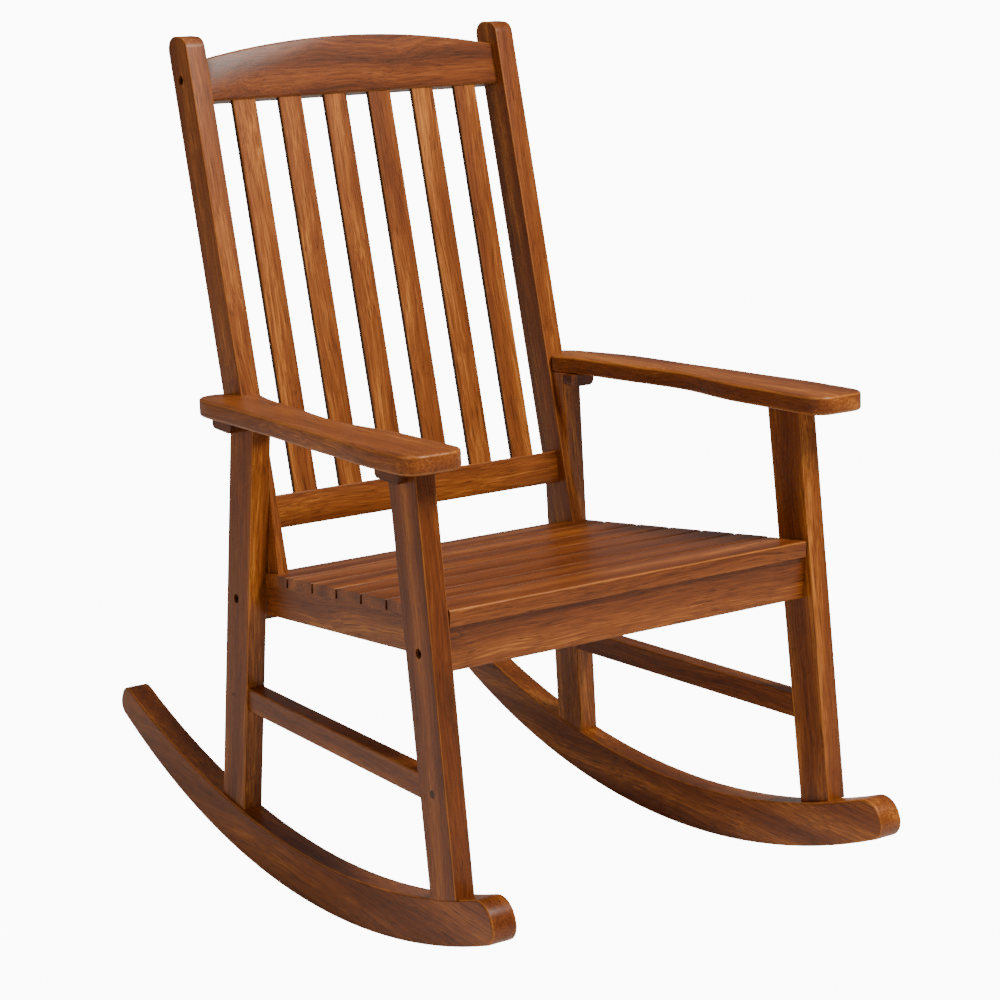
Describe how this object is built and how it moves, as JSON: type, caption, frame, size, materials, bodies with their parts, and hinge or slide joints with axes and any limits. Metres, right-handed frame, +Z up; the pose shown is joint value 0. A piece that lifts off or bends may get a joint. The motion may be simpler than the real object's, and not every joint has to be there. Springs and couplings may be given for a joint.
{
  "type": "slatted wooden rocking chair",
  "caption": "Wooden porch rocking chair with slatted seat and leaning slatted back, arched crest rail, shaped armrests and curved rockers under splayed legs.",
  "frame": {"origin": "floor level midway between the two rockers, 8 mm behind the line where they touch the floor", "axes": "+Z up, -Y towards the front of the chair, +X towards the sitter's left hand"},
  "size_m": [0.6526, 0.9728, 1.0475],
  "materials": {
    "oiled_hardwood": "satin oiled reddish-brown hardwood",
    "plug_wood": "satin oiled darker hardwood",
    "dark_steel": "blackened steel",
    "zinc_steel": "zinc-plated steel"
  },
  "bodies": {
    "root": {"arm_cleats_left": "oiled_hardwood", "arm_cleats_right": "oiled_hardwood", "armrest_left": "oiled_hardwood", "armrest_right": "oiled_hardwood", "back_post_left": "oiled_hardwood", "back_post_right": "oiled_hardwood", "back_slat_1": "oiled_hardwood", "back_slat_2": "oiled_hardwood", "back_slat_3": "oiled_hardwood", "back_slat_4": "oiled_hardwood", "back_slat_5": "oiled_hardwood", "back_slat_6": "oiled_hardwood", "barrel_nuts": "zinc_steel", "crest_rail": "oiled_hardwood", "foot_dowels": "plug_wood", "frame_bolts": "dark_steel", "front_leg_left": "oiled_hardwood", "front_leg_right": "oiled_hardwood", "front_seat_rail": "oiled_hardwood", "lower_back_rail": "oiled_hardwood", "rear_leg_left": "oiled_hardwood", "rear_leg_right": "oiled_hardwood", "rear_seat_rail": "oiled_hardwood", "rocker_left": "oiled_hardwood", "rocker_right": "oiled_hardwood", "seat_slat_1": "oiled_hardwood", "seat_slat_2": "oiled_hardwood", "seat_slat_3": "oiled_hardwood", "seat_slat_4": "oiled_hardwood", "seat_slat_5": "oiled_hardwood", "seat_slat_6": "oiled_hardwood", "seat_slat_7": "oiled_hardwood", "side_seat_rail_left": "oiled_hardwood", "side_seat_rail_right": "oiled_hardwood", "side_stretcher_left": "oiled_hardwood", "side_stretcher_right": "oiled_hardwood", "slat_screws": "zinc_steel", "wood_plugs": "plug_wood"}
  },
  "joints": []
}
